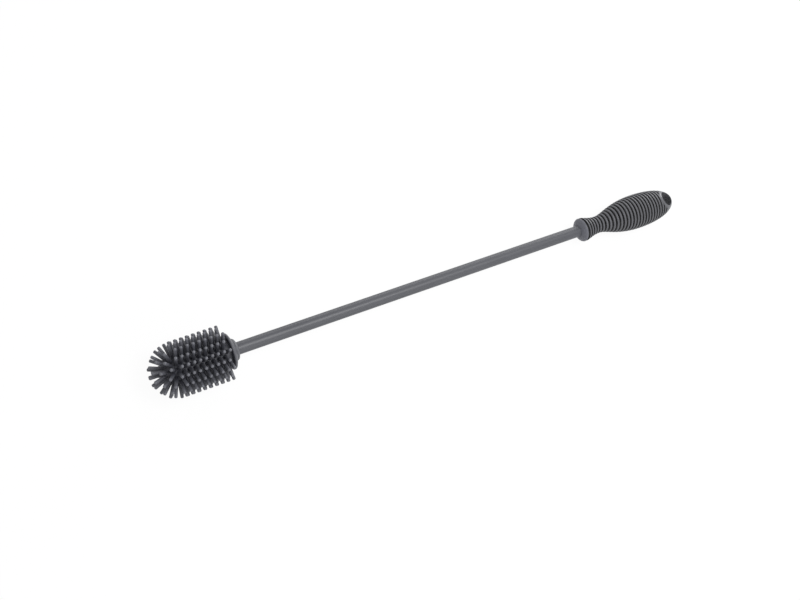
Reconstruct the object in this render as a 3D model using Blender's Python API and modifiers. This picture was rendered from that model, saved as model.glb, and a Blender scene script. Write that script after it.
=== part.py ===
"""Silicone bottle brush: a pinned silicone head, a round stem with a steel rod inside, and a ribbed bulb grip.

The brush lies along X, with the pin head at -X and the handle at +X, and the origin is at the middle of its box.
The hanging hole runs along Z. All sizes are in metres.
"""
import math

import bmesh
import bpy
from mathutils import Matrix, Vector

FORWARD = Vector((-1.0, 0.0, 0.0))   # from the handle to the head

# Fits
SEAM = 0.0003                  # gap between two pieces that touch
ROUND_STEPS = 32               # sides of every large turned piece
ROD_STEPS = 16                 # sides of the steel rod

# Pins
PIN_REACH = 0.0184             # axis to pin tip
PIN_ROOT_RADIUS = 0.00125
PIN_TIP_RADIUS = 0.00105
PIN_SIDES = 4
PIN_CROWN = 0.00055            # length of the rounded end of a pin
PIN_CROWN_SHARE = 0.55         # width left at the very tip
PIN_SINK = 0.0007              # how far a pin's root runs into the sleeve
PIN_PITCH = 0.00393            # along the axis, within one row
PIN_ROWS = 18                  # rows round the head, every other one half a pitch further on
BARREL_RINGS = 9               # pins of a full row on the straight part
FULL_ROW_TILTS = (23.0, 46.0)  # degrees forward, pins of the full rows on the domed front
STAGGERED_ROW_TILTS = (6.5, 30.0)
POLE_RING_PINS = 7             # pins of the ring next to the front pin
POLE_RING_TILT = 68.0
POLE_RING_TURN = 81.5          # degrees round the axis of that ring's first pin

# Silicone head
SLEEVE_RADIUS = 0.0080
SLEEVE_WALL = 0.0023
LIP_RADIUS = 0.0122
LIP_THICKNESS = 0.0015
LIP_FROM_PINS = 0.0029         # last ring of pins to the front face of the lip
LIP_CONE_LENGTH = 0.0023       # slope from the lip down to the hub

# Head core
HEAD_RING_HEIGHT = 0.0010      # how far a retaining ring stands out
HEAD_RING_WIDTH = 0.0020
HEAD_RING_PLACES = (0.008, 0.022)   # behind the middle of the dome
HUB_RADIUS = 0.0073
HUB_LENGTH = 0.0019
STEM_SEAT = 0.0125             # how far the stem goes into the hub

# Stem
STEM_RADIUS = 0.00415
STEM_VISIBLE = 0.2708
ROD_RADIUS = 0.00175
ROD_IN_HEAD = 0.0190           # past the end of the stem, into the head core
ROD_IN_HANDLE = 0.0480         # past the end of the stem, into the handle core
ROD_CHAMFER = 0.0006

# Handle core
COLLAR_RADIUS = 0.0087
COLLAR_BELL = 0.0052           # length of the ellipse that shapes the bell
COLLAR_SEAT = 0.0030           # how far the stem runs on past the back of the collar
SOCKET_WALL = 0.0012
SOCKET_FLOOR = 0.0008          # solid behind the end of the stem
SHOULDER_SLOPE = 0.0040        # length of the slope from the socket down to the neck of the tang
TANG_NECK_RUN = 0.0030         # straight part of the tang past the narrowest place
TANG_END_RADIUS = 0.0036
TANG_TO_HOLE = 0.0052          # grip between the end of the tang and the hanging hole

# Grip
GRIP_LENGTH = 0.0833
GRIP_STEP_DEPTH = 0.00105      # sunk band where the grip meets the collar
GRIP_STEP_WIDTH = 0.0008
GRIP_STEP_SLOPE = 0.0002
NECK_RADIUS = 0.00633
NECK_PLACE = 0.0134            # narrowest place, behind the front of the grip
BELLY_RADIUS = 0.0128
BELLY_PLACE = 0.0500           # widest place, behind the front of the grip
NECK_WALL = 0.0013             # grip over the tang, under a groove at the narrowest place
BELLY_WALL = 0.0048            # grip over the tang at the widest place
NOSE_BLUNTNESS = 0.0113        # how square the outline meets the axis at its end
FRONT_PULLS = (0.22, 0.50)     # how long the outline stays level at each end of a stretch, as shares of it
SWELL_PULLS = (0.20, 0.57)
NOSE_PULL = 0.313
TANG_PULLS = (0.30, 0.50)
FIRST_GROOVE = 0.0030          # front of the grip to the middle of the first groove
GROOVE_PITCH = 0.00276
GROOVE_WIDTH = 0.0016
GROOVE_DEPTH = 0.0011
FULL_GROOVES = 24
SHORT_GROOVES = 2              # grooves that stop at the land round the hole
HOLE_RADIUS = 0.0055
HOLE_TO_END = 0.0079           # hole's axis to the end of the handle
LAND_WIDTH = 0.0018            # smooth band round the hole

# Places along X, worked out from the sizes above
BARREL_LENGTH = (BARREL_RINGS - 1) * PIN_PITCH
HEAD_LENGTH = PIN_REACH + BARREL_LENGTH + LIP_FROM_PINS + LIP_THICKNESS + LIP_CONE_LENGTH + SEAM + HUB_LENGTH
COLLAR_LENGTH = COLLAR_BELL * math.sqrt(1 - ((STEM_RADIUS + SEAM) / COLLAR_RADIUS) ** 2)
TOTAL_LENGTH = HEAD_LENGTH + STEM_VISIBLE + COLLAR_LENGTH + SEAM + GRIP_LENGTH
X_FRONT = -TOTAL_LENGTH / 2
X_DOME = X_FRONT + PIN_REACH
X_LIP = X_DOME + BARREL_LENGTH + LIP_FROM_PINS
X_SLEEVE_BACK = X_LIP + LIP_THICKNESS + LIP_CONE_LENGTH
X_HUB = X_SLEEVE_BACK + SEAM
X_HUB_BACK = X_HUB + HUB_LENGTH
X_COLLAR = X_HUB_BACK + STEM_VISIBLE
X_COLLAR_BACK = X_COLLAR + COLLAR_LENGTH
X_GRIP = X_COLLAR_BACK + SEAM
X_END = X_GRIP + GRIP_LENGTH
X_HOLE = X_END - HOLE_TO_END
X_NECK = X_GRIP + NECK_PLACE
X_BELLY = X_GRIP + BELLY_PLACE
X_STEM_FRONT = X_HUB_BACK - STEM_SEAT
X_STEM_BACK = X_COLLAR_BACK + COLLAR_SEAT
X_ROD_FRONT = X_STEM_FRONT - ROD_IN_HEAD
X_ROD_BACK = X_STEM_BACK + ROD_IN_HANDLE
X_TANG_END = X_HOLE - HOLE_RADIUS - TANG_TO_HOLE
CORE_RADIUS = SLEEVE_RADIUS - SLEEVE_WALL - SEAM
SOCKET_RADIUS = STEM_RADIUS + SEAM
ROD_BORE = ROD_RADIUS + SEAM
SHOULDER_RADIUS = SOCKET_RADIUS + SOCKET_WALL
TANG_NECK_RADIUS = NECK_RADIUS - GROOVE_DEPTH - NECK_WALL - SEAM
TANG_BELLY_RADIUS = BELLY_RADIUS - BELLY_WALL - SEAM


def clear_scene():
    """Removes whatever the file holds."""
    for old in list(bpy.data.objects):
        bpy.data.objects.remove(old)


def new_collection(name):
    """Makes a collection in the scene."""
    made = bpy.data.collections.new(name)
    bpy.context.scene.collection.children.link(made)
    return made


def finish(name, colour, roughness, metallic=0.0):
    """Makes the material of one piece."""
    made = bpy.data.materials.new(name)
    made.use_nodes = True
    shader = made.node_tree.nodes["Principled BSDF"]
    shader.inputs["Base Color"].default_value = (*colour, 1.0)
    shader.inputs["Roughness"].default_value = roughness
    shader.inputs["Metallic"].default_value = metallic
    return made


def arc(centre_x, length, radius, start, end, steps):
    """Points of an ellipse round a place on the axis: 0 degrees points to +X, 90 degrees straight out."""
    points = []
    for i in range(steps + 1):
        angle = math.radians(start + (end - start) * i / steps)
        out = radius * math.sin(angle)
        points.append((centre_x + length * math.cos(angle), 0.0 if abs(out) < 1e-9 else out))
    return points


def bezier(start, pull_a, pull_b, end, steps):
    """Points of one smooth curve piece."""
    points = []
    for i in range(steps + 1):
        t = i / steps
        u = 1 - t
        weights = (u * u * u, 3 * u * u * t, 3 * u * t * t, t * t * t)
        corners = (start, pull_a, pull_b, end)
        x = sum(w * c[0] for w, c in zip(weights, corners))
        r = sum(w * c[1] for w, c in zip(weights, corners))
        points.append((x, r))
    return points


def height_at(outline, x):
    """Radius of an outline at a place, where the outline runs one way along X."""
    for (xa, ra), (xb, rb) in zip(outline, outline[1:]):
        if min(xa, xb) <= x <= max(xa, xb) and xa != xb:
            return ra + (rb - ra) * (x - xa) / (xb - xa)
    return outline[0][1] if abs(x - outline[0][0]) < abs(x - outline[-1][0]) else outline[-1][1]


def turned(name, profile, collection, steps=ROUND_STEPS, closed=False):
    """Turns a profile of (x, radius) points about the X axis. The outer side runs from +X to -X."""
    mesh = bpy.data.meshes.new(name)
    verts = [(r, 0.0, x) for x, r in profile]
    edges = [(i, i + 1) for i in range(len(verts) - 1)]
    if closed:
        edges.append((len(verts) - 1, 0))
    mesh.from_pydata(verts, edges, [])
    made = bpy.data.objects.new(name, mesh)
    collection.objects.link(made)
    made.rotation_euler = (0.0, math.pi / 2, 0.0)
    screw = made.modifiers.new("Turn", "SCREW")
    screw.axis = "Z"
    screw.steps = steps
    screw.render_steps = steps
    screw.use_merge_vertices = True
    screw.merge_threshold = 0.00002
    screw.use_smooth_shade = True
    return made


def boolean(target, cutter, operation):
    """Cuts or joins one object with another."""
    step = target.modifiers.new(cutter.name, "BOOLEAN")
    step.operation = operation
    step.solver = "EXACT"
    step.object = cutter
    return step


def as_cutter(tool, collection):
    """Keeps a tool body out of the renders."""
    for holder in list(tool.users_collection):
        holder.objects.unlink(tool)
    collection.objects.link(tool)
    tool.hide_render = True
    tool.display_type = "WIRE"
    return tool


def leaning(out, tilt):
    """Direction of a pin that leans forward from straight out."""
    lean = math.radians(tilt)
    return out * math.cos(lean) + FORWARD * math.sin(lean)


def pin_directions():
    """Place on the axis and direction of every pin on the head."""
    pins = []
    dome = Vector((X_DOME, 0.0, 0.0))
    row_step = 2 * math.pi / PIN_ROWS
    for row in range(PIN_ROWS):
        angle = row * row_step
        staggered = row % 2 == 0
        out = Vector((0.0, math.cos(angle), math.sin(angle)))
        rings = BARREL_RINGS - 1 if staggered else BARREL_RINGS
        shift = PIN_PITCH / 2 if staggered else 0.0
        for ring in range(rings):
            place = X_DOME + BARREL_LENGTH - shift - ring * PIN_PITCH
            pins.append((Vector((place, 0.0, 0.0)), out))
        for tilt in STAGGERED_ROW_TILTS if staggered else FULL_ROW_TILTS:
            pins.append((dome, leaning(out, tilt)))
    for k in range(POLE_RING_PINS):
        angle = math.radians(POLE_RING_TURN) + k * 2 * math.pi / POLE_RING_PINS
        out = Vector((0.0, math.cos(angle), math.sin(angle)))
        pins.append((dome, leaning(out, POLE_RING_TILT)))
    pins.append((dome, FORWARD))
    return pins


def add_pin(bm, centre, direction):
    """Adds one tapered pin with a rounded end to a mesh."""
    side = Vector((1.0, 0.0, 0.0)) - direction * direction.x
    if side.length < 1e-6:
        side = Vector((0.0, 1.0, 0.0))
    side.normalize()
    other = direction.cross(side)
    root = SLEEVE_RADIUS - PIN_SINK
    shoulder = PIN_REACH - PIN_CROWN
    levels = ((root, PIN_ROOT_RADIUS), (shoulder, PIN_TIP_RADIUS), (PIN_REACH, PIN_TIP_RADIUS * PIN_CROWN_SHARE))
    rings = []
    for height, radius in levels:
        ring = []
        for k in range(PIN_SIDES):
            turn = 2 * math.pi * k / PIN_SIDES
            offset = side * math.cos(turn) + other * math.sin(turn)
            ring.append(bm.verts.new(centre + direction * height + offset * radius))
        rings.append(ring)
    bm.faces.new(list(reversed(rings[0])))
    bm.faces.new(rings[-1])
    for low, high in zip(rings, rings[1:]):
        for k in range(PIN_SIDES):
            after = (k + 1) % PIN_SIDES
            bm.faces.new((low[k], low[after], high[after], high[k]))


def bristle_head(parts, cutters):
    """Silicone sleeve with a domed front, a lip at the back, and all the pins in one moulding."""
    outer = [
        (X_SLEEVE_BACK, HUB_RADIUS),
        (X_LIP + LIP_THICKNESS, LIP_RADIUS - LIP_THICKNESS / 4),
        (X_LIP + LIP_THICKNESS / 2, LIP_RADIUS),
        (X_LIP, LIP_RADIUS - LIP_THICKNESS / 4),
        (X_LIP, SLEEVE_RADIUS),
    ]
    outer += arc(X_DOME, SLEEVE_RADIUS, SLEEVE_RADIUS, 90, 180, 8)
    bore = CORE_RADIUS + SEAM
    inner = arc(X_DOME, bore, bore, 180, 90, 6)
    for place in HEAD_RING_PLACES:
        middle = X_DOME + place
        half = HEAD_RING_WIDTH / 2 + SEAM
        inner.append((middle - half, bore))
        inner.append((middle - half, bore + HEAD_RING_HEIGHT))
        inner.append((middle + half, bore + HEAD_RING_HEIGHT))
        inner.append((middle + half, bore))
    inner.append((X_SLEEVE_BACK, bore))
    head = turned("bristle_head", inner + outer, parts)

    mesh = bpy.data.meshes.new("head_pins")
    bm = bmesh.new()
    for centre, direction in pin_directions():
        add_pin(bm, centre, direction)
    bm.to_mesh(mesh)
    bm.free()
    pins = bpy.data.objects.new("head_pins", mesh)
    as_cutter(pins, cutters)
    boolean(head, pins, "UNION")
    head.data.materials.append(finish("head_silicone", (0.085, 0.086, 0.092), 0.55))
    return head


def head_core(parts):
    """Core inside the silicone, with retaining rings, a domed hub behind the lip and a socket for the stem."""
    outer = arc(X_HUB, HUB_LENGTH, HUB_RADIUS - SOCKET_RADIUS, 0, 90, 6)
    outer = [(x, r + SOCKET_RADIUS) for x, r in outer]
    outer.append((X_HUB, CORE_RADIUS))
    for place in reversed(HEAD_RING_PLACES):
        middle = X_DOME + place
        half = HEAD_RING_WIDTH / 2
        outer.append((middle + half, CORE_RADIUS))
        outer.append((middle + half, CORE_RADIUS + HEAD_RING_HEIGHT))
        outer.append((middle - half, CORE_RADIUS + HEAD_RING_HEIGHT))
        outer.append((middle - half, CORE_RADIUS))
    outer += arc(X_DOME, CORE_RADIUS, CORE_RADIUS, 90, 180, 6)
    inner = [
        (X_ROD_FRONT - SEAM, 0.0),
        (X_ROD_FRONT - SEAM, ROD_BORE),
        (X_STEM_FRONT - SEAM, ROD_BORE),
        (X_STEM_FRONT - SEAM, SOCKET_RADIUS),
    ]
    core = turned("head_core", inner + outer, parts)
    core.data.materials.append(finish("core_plastic", (0.10, 0.10, 0.108), 0.45))
    return core


def stem_tube(parts):
    """Round plastic stem, open at both ends for the steel rod."""
    profile = [
        (X_STEM_BACK, STEM_RADIUS),
        (X_STEM_FRONT, STEM_RADIUS),
        (X_STEM_FRONT, ROD_BORE),
        (X_STEM_BACK, ROD_BORE),
    ]
    stem = turned("stem_tube", profile, parts, closed=True)
    stem.data.materials.append(finish("stem_plastic", (0.125, 0.127, 0.138), 0.42))
    return stem


def stem_rod(parts):
    """Steel rod that stiffens the stem and reaches into both cores."""
    profile = [
        (X_ROD_BACK, 0.0),
        (X_ROD_BACK, ROD_RADIUS - ROD_CHAMFER),
        (X_ROD_BACK - ROD_CHAMFER, ROD_RADIUS),
        (X_ROD_FRONT + ROD_CHAMFER, ROD_RADIUS),
        (X_ROD_FRONT, ROD_RADIUS - ROD_CHAMFER),
        (X_ROD_FRONT, 0.0),
    ]
    rod = turned("stem_rod", profile, parts, steps=ROD_STEPS)
    rod.data.materials.append(finish("rod_steel", (0.55, 0.56, 0.58), 0.3, 1.0))
    return rod


def level_curve(start, end, pulls, steps):
    """Smooth stretch of an outline that runs level at both ends."""
    span = end[0] - start[0]
    return bezier(start, (start[0] + pulls[0] * span, start[1]), (end[0] - pulls[1] * span, end[1]), end, steps)


def grip_outline(steps):
    """Outer outline of the grip from its front to its end, without the grooves."""
    front = (X_GRIP, COLLAR_RADIUS)
    neck = (X_NECK, NECK_RADIUS)
    belly = (X_BELLY, BELLY_RADIUS)
    end = (X_END, 0.0)
    points = level_curve(front, neck, FRONT_PULLS, steps)
    points += level_curve(neck, belly, SWELL_PULLS, 2 * steps)[1:]
    after_belly = (X_BELLY + NOSE_PULL * (X_END - X_BELLY), BELLY_RADIUS)
    points += bezier(belly, after_belly, (X_END, NOSE_BLUNTNESS), end, 2 * steps)[1:]
    return points


def tang_outline():
    """Outline of the core inside the grip, from the back of the collar to its end."""
    shoulder_end = X_STEM_BACK + SEAM + SOCKET_FLOOR
    neck_start = shoulder_end + SHOULDER_SLOPE
    neck_end = (X_NECK + TANG_NECK_RUN, TANG_NECK_RADIUS)
    points = [(X_COLLAR_BACK, SHOULDER_RADIUS), (shoulder_end, SHOULDER_RADIUS), (neck_start, TANG_NECK_RADIUS)]
    points += level_curve(neck_end, (X_BELLY, TANG_BELLY_RADIUS), TANG_PULLS, 6)
    points.append((X_TANG_END, TANG_END_RADIUS))
    return points


def handle_core(parts):
    """Core of the handle: the bell-shaped collar that shows, and the tang that the grip is moulded on."""
    tang = tang_outline()
    outer = list(reversed(tang))
    bell = arc(X_COLLAR_BACK, COLLAR_BELL, COLLAR_RADIUS, 90, 180, 24)
    outer += [point for point in bell if point[1] > SOCKET_RADIUS]
    inner = [
        (X_COLLAR, SOCKET_RADIUS),
        (X_STEM_BACK + SEAM, SOCKET_RADIUS),
        (X_STEM_BACK + SEAM, ROD_BORE),
        (X_ROD_BACK + SEAM, ROD_BORE),
        (X_ROD_BACK + SEAM, 0.0),
    ]
    core = turned("handle_core", [(X_TANG_END, 0.0)] + outer + inner, parts)
    core.data.materials.append(finish("handle_core_plastic", (0.125, 0.127, 0.135), 0.42))
    return core


def groove_place(number):
    """Place along X of a groove, counted from 1 at the front of the grip."""
    return X_GRIP + FIRST_GROOVE + (number - 1) * GROOVE_PITCH


def groove_ring(outline, place):
    """Profile points of one groove, from its back edge to its front edge."""
    half = GROOVE_WIDTH / 2
    return [
        (place + half, height_at(outline, place + half)),
        (place, height_at(outline, place) - GROOVE_DEPTH),
        (place - half, height_at(outline, place - half)),
    ]


def short_groove(name, outline, place, parts, cutters):
    """Cutter of a groove that stops at the land round the hole. Its sides run on past the outer surface."""
    back, bottom, front = groove_ring(outline, place)
    over_back = (2 * back[0] - bottom[0], 2 * back[1] - bottom[1])
    over_front = (2 * front[0] - bottom[0], 2 * front[1] - bottom[1])
    ring = as_cutter(turned(name, [over_back, bottom, over_front], parts, closed=True), cutters)
    boolean(ring, post(f"{name}_land", HOLE_RADIUS + LAND_WIDTH, cutters), "DIFFERENCE")
    return ring


def grip(parts, cutters):
    """Ribbed soft grip over the handle core, with the hanging hole and the smooth land round it."""
    outline = grip_outline(24)
    last_full = groove_place(FULL_GROOVES)
    nose = [point for point in grip_outline(8) if point[0] > last_full + GROOVE_WIDTH]
    profile = list(reversed(nose))
    for k in range(FULL_GROOVES, 0, -1):
        profile += groove_ring(outline, groove_place(k))
    step_end = X_GRIP + GRIP_STEP_WIDTH + GRIP_STEP_SLOPE
    step_radius = COLLAR_RADIUS - GRIP_STEP_DEPTH
    profile.append((step_end, height_at(outline, step_end)))
    profile.append((X_GRIP + GRIP_STEP_WIDTH, step_radius))
    profile.append((X_GRIP, step_radius))
    cavity = [(x, r + SEAM) for x, r in tang_outline()]
    cavity[0] = (X_GRIP, SHOULDER_RADIUS + SEAM)
    cavity[-1] = (X_TANG_END + SEAM, TANG_END_RADIUS + SEAM)
    cavity.append((X_TANG_END + SEAM, 0.0))
    body = turned("grip", profile + cavity, parts)
    for k in range(1, SHORT_GROOVES + 1):
        place = groove_place(FULL_GROOVES + k)
        boolean(body, short_groove(f"short_groove_{k}", outline, place, parts, cutters), "DIFFERENCE")
    boolean(body, post("hanging_hole", HOLE_RADIUS, cutters), "DIFFERENCE")
    body.data.materials.append(finish("grip_silicone", (0.105, 0.106, 0.114), 0.5))
    return body


def post(name, radius, cutters):
    """Upright cylinder on the axis of the hanging hole."""
    mesh = bpy.data.meshes.new(name)
    bm = bmesh.new()
    bmesh.ops.create_cone(bm, cap_ends=True, segments=ROUND_STEPS, radius1=radius, radius2=radius,
                          depth=4 * BELLY_RADIUS, matrix=Matrix.Translation((X_HOLE, 0.0, 0.0)))
    bm.to_mesh(mesh)
    bm.free()
    made = bpy.data.objects.new(name, mesh)
    return as_cutter(made, cutters)


def main():
    """Builds the brush."""
    clear_scene()
    parts = new_collection("silicone_bottle_brush")
    cutters = new_collection("cutters")
    bristle_head(parts, cutters)
    head_core(parts)
    stem_tube(parts)
    stem_rod(parts)
    handle_core(parts)
    grip(parts, cutters)


main()
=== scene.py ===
"""Silicone bottle brush, dressed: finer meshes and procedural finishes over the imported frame.

The brush lies along X, with the pin head at -X and the ribbed grip at +X. Every size is in metres, in the
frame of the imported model, and the places along X come from the boxes of its nodes.
"""
import logging
import math
import random
from dataclasses import dataclass
from enum import Enum
from functools import reduce
from typing import Callable

import bmesh
import bpy
from mathutils import Matrix, Vector


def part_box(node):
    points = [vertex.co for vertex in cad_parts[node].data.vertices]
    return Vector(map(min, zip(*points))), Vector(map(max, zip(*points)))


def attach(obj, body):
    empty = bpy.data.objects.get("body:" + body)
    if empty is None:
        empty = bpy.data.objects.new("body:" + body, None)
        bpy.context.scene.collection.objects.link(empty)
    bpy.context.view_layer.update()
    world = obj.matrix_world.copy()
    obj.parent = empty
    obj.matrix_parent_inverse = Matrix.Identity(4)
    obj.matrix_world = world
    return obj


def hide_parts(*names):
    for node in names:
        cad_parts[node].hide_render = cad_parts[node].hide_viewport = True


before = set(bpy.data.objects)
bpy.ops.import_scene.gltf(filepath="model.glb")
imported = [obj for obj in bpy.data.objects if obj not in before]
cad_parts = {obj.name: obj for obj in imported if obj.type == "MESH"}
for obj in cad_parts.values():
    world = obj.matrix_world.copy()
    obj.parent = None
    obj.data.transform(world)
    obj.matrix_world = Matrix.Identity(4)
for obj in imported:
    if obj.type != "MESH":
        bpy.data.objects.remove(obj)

ROOT_BODY = "root"
FORWARD = Vector((-1.0, 0.0, 0.0))
SEAM = 0.0003                  # gap between two pieces that touch
SHARP_ANGLE = math.radians(50)
ON_AXIS = 1e-7                 # a radius below this is a point on the axis
FILLET_SHARE = 0.45            # longest share of an edge that a fillet takes
ROD_BORE = 0.00205             # radius of the bores that the rod lies in
STEM_SOCKET = 0.00445          # radius of the sockets that the stem stands in

# Shared effects: a scale is in repeats a metre, and a band gives the two values between which a mask grows
PIT_SHARE = 0.5                # height of the pits beside that of the coarse grain
TONE_BAND = (0.3, 0.7)
DUST_GREY = 0.3                # tone of the lint and the bloom
BLOOM_SCALE = 260.0
BLOOM_BAND = (0.42, 0.66)
SPECK_SCALE = 900.0
SPECK_BAND = (0.16, 0.06)
SPECK_PATCH_SCALE = 420.0
SPECK_PATCH_BAND = (0.62, 0.70)
PARTING_BAND = (1.0, 0.3)
PARTING_WEAR_SCALE = 150.0
PARTING_WEAR_BAND = (0.30, 0.60)
PARTING_LEAST = 0.35           # what is left of the parting line where it is most worn

Colour = tuple[float, float, float]
Point = tuple[float, float]
Corner = tuple[float, float, float]

log = logging.getLogger("bottle_brush")


class Sides(Enum):
    """How many sides a turned piece has."""

    PIN = 12
    ROUND = 96
    GRIP = 144


class Effect(Enum):
    """Surface effects that several finishes share, each a shader node group."""

    GRAIN = "fine_grain"
    MOTTLE = "colour_mottle"
    DUST = "settled_dust"
    PARTING = "parting_line"


class Graph:
    """Adds and joins the nodes of one node tree."""

    def __init__(self, tree: bpy.types.NodeTree) -> None:
        """Keeps the tree to work on."""
        self.tree = tree

    def add(self, kind: str, inputs: dict | None = None, **settings: object) -> bpy.types.Node:
        """Adds a node.

        Args:
            kind: The node's type name in Blender.
            inputs: Values or sockets for its inputs, by name or by number.
            settings: Properties of the node, such as its operation.

        Returns:
            The new node.
        """
        node = self.tree.nodes.new(kind)
        for key, value in settings.items():
            setattr(node, key, value)
        for key, value in (inputs or {}).items():
            self.feed(node.inputs[key], value)
        return node

    def feed(self, socket: bpy.types.NodeSocket, value: object) -> None:
        """Joins a socket to an input, or writes a plain value into it.

        Args:
            socket: The input.
            value: The socket or the value that it gets.
        """
        if isinstance(value, bpy.types.NodeSocket):
            self.tree.links.new(value, socket)
        else:
            socket.default_value = value

    def math(self, operation: str, a: object, b: object = 0.0, c: object = 0.0) -> bpy.types.NodeSocket:
        """Returns the result of a sum on one, two or three numbers."""
        return self.add("ShaderNodeMath", {0: a, 1: b, 2: c}, operation=operation).outputs[0]

    def times(self, *factors: object) -> bpy.types.NodeSocket:
        """Returns the product of two or more numbers."""
        return reduce(lambda a, b: self.math("MULTIPLY", a, b), factors)

    def blend(self, share: object, a: object, b: object, kind: str = "MIX") -> bpy.types.NodeSocket:
        """Returns a mix of two colours."""
        node = self.add("ShaderNodeMix", {0: share, 6: a, 7: b}, data_type="RGBA", blend_type=kind)
        return node.outputs[2]

    def remap(self, value: object, low: float, high: float, first: object = 0.0,
              last: object = 1.0) -> bpy.types.NodeSocket:
        """Returns a number that goes smoothly from first to last while value goes from low to high.

        Args:
            value: The number to follow.
            low: Where the change begins.
            high: Where the change ends.
            first: The result up to low.
            last: The result from high on.

        Returns:
            The socket of the result.
        """
        inputs = {"Value": value, "From Min": low, "From Max": high, "To Min": first, "To Max": last}
        return self.add("ShaderNodeMapRange", inputs, interpolation_type="SMOOTHSTEP").outputs["Result"]

    def ramp_at(self, value: object, place: float, band: Point, first: float = 0.0,
                last: float = 1.0) -> bpy.types.NodeSocket:
        """Returns a number that goes from first to last over a band, which is given from a place."""
        return self.remap(value, place + band[0], place + band[1], first, last)

    def place(self) -> bpy.types.NodeSocket:
        """Returns the point on the surface in the frame's own coordinates."""
        return self.add("ShaderNodeTexCoord").outputs["Object"]

    def axes(self) -> bpy.types.bpy_prop_collection:
        """Returns the sockets X, Y and Z of the point on the surface."""
        return self.add("ShaderNodeSeparateXYZ", {0: self.place()}).outputs

    def stretched(self, scale: Corner) -> bpy.types.NodeSocket:
        """Returns the point on the surface with its axes scaled, for marks that run one way."""
        return self.add("ShaderNodeVectorMath", {0: self.place(), 1: scale}, operation="MULTIPLY").outputs[0]

    def length(self, x: object, y: object, z: object = 0.0) -> bpy.types.NodeSocket:
        """Returns the length of a vector that is given by its parts."""
        vector = self.add("ShaderNodeCombineXYZ", {0: x, 1: y, 2: z}).outputs[0]
        return self.add("ShaderNodeVectorMath", {0: vector}, operation="LENGTH").outputs["Value"]

    def noise(self, place: object, scale: object, detail: float = 2.0) -> bpy.types.NodeSocket:
        """Returns a soft random value from 0 to 1 that repeats about scale times a metre."""
        inputs = {"Vector": place, "Scale": scale, "Detail": detail}
        return self.add("ShaderNodeTexNoise", inputs).outputs["Fac"]

    def cells(self, scale: object) -> bpy.types.NodeSocket:
        """Returns the distance to the nearest of many scattered points, scale of them along a metre."""
        return self.add("ShaderNodeTexVoronoi", {"Vector": self.place(), "Scale": scale}).outputs["Distance"]

    def effect(self, effect: Effect, **inputs: object) -> bpy.types.Node:
        """Adds one of the shared effects, with a value or a socket for each input that is named."""
        given = {key.title(): value for key, value in inputs.items()}
        return self.add("ShaderNodeGroup", given, node_tree=shared_effect(effect))


def white(value: float) -> tuple[float, float, float, float]:
    """Returns a grey from 0 to 1 as a colour."""
    return (value, value, value, 1.0)


def open_group(tree: bpy.types.NodeTree, inputs: dict[str, object],
               outputs: dict[str, str]) -> tuple[Graph, bpy.types.bpy_prop_collection]:
    """Gives a node group its sockets.

    Args:
        tree: The node group.
        inputs: The default of each input by its name, a number or a colour.
        outputs: The kind of each output by its name, Float or Color.

    Returns:
        The group's graph, and the sockets that bring in its inputs.
    """
    for name, value in inputs.items():
        kind = "Color" if isinstance(value, tuple) else "Float"
        made = tree.interface.new_socket(name=name, in_out="INPUT", socket_type=f"NodeSocket{kind}")
        made.default_value = value
    for name, kind in outputs.items():
        tree.interface.new_socket(name=name, in_out="OUTPUT", socket_type=f"NodeSocket{kind}")
    graph = Graph(tree)
    return graph, graph.add("NodeGroupInput").outputs


def build_grain(tree: bpy.types.NodeTree) -> None:
    """Fine spark-eroded grain of a moulded surface, as a height in metres.

    Args:
        tree: The node group to fill.
    """
    graph, given = open_group(tree, {"Size": 0.0005, "Depth": 0.00001}, {"Height": "Float"})
    scale = graph.math("DIVIDE", 1.0, given["Size"])
    coarse = graph.noise(graph.place(), scale, detail=3.0)
    both = graph.math("MULTIPLY_ADD", graph.cells(scale), PIT_SHARE, coarse)
    graph.add("NodeGroupOutput", {"Height": graph.times(both, given["Depth"])})


def build_mottle(tree: bpy.types.NodeTree) -> None:
    """Slow change of tone over a moulded surface, with a value that can drive its gloss.

    Args:
        tree: The node group to fill.
    """
    graph, given = open_group(tree, {"Colour": white(0.1), "Size": 0.01, "Amount": 0.1},
                              {"Colour": "Color", "Tone": "Float"})
    scale = graph.math("DIVIDE", 1.0, given["Size"])
    tone = graph.remap(graph.noise(graph.place(), scale, detail=4.0), *TONE_BAND, -1.0, 1.0)
    gain = graph.math("MULTIPLY_ADD", tone, given["Amount"], 1.0)
    grey = graph.add("ShaderNodeCombineColor", {0: gain, 1: gain, 2: gain}).outputs[0]
    colour = graph.blend(1.0, given["Colour"], grey, "MULTIPLY")
    graph.add("NodeGroupOutput", {"Colour": colour, "Tone": tone})


def build_dust(tree: bpy.types.NodeTree) -> None:
    """Sparse pale lint specks, and a thin bloom where a mask says that the surface is sheltered.

    Args:
        tree: The node group to fill.
    """
    inputs = {"Colour": white(0.1), "Dust": white(DUST_GREY), "Sheltered": 0.0, "Bloom": 0.1, "Specks": 0.3}
    graph, given = open_group(tree, inputs, {"Colour": "Color", "Cover": "Float"})
    patches = graph.remap(graph.noise(graph.place(), BLOOM_SCALE, detail=5.0), *BLOOM_BAND)
    dots = graph.remap(graph.cells(SPECK_SCALE), *SPECK_BAND)
    few = graph.remap(graph.noise(graph.place(), SPECK_PATCH_SCALE), *SPECK_PATCH_BAND)
    bloom = graph.times(patches, given["Sheltered"], given["Bloom"])
    cover = graph.math("MAXIMUM", bloom, graph.times(dots, few, given["Specks"]))
    colour = graph.blend(cover, given["Colour"], given["Dust"])
    graph.add("NodeGroupOutput", {"Colour": colour, "Cover": cover})


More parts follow.
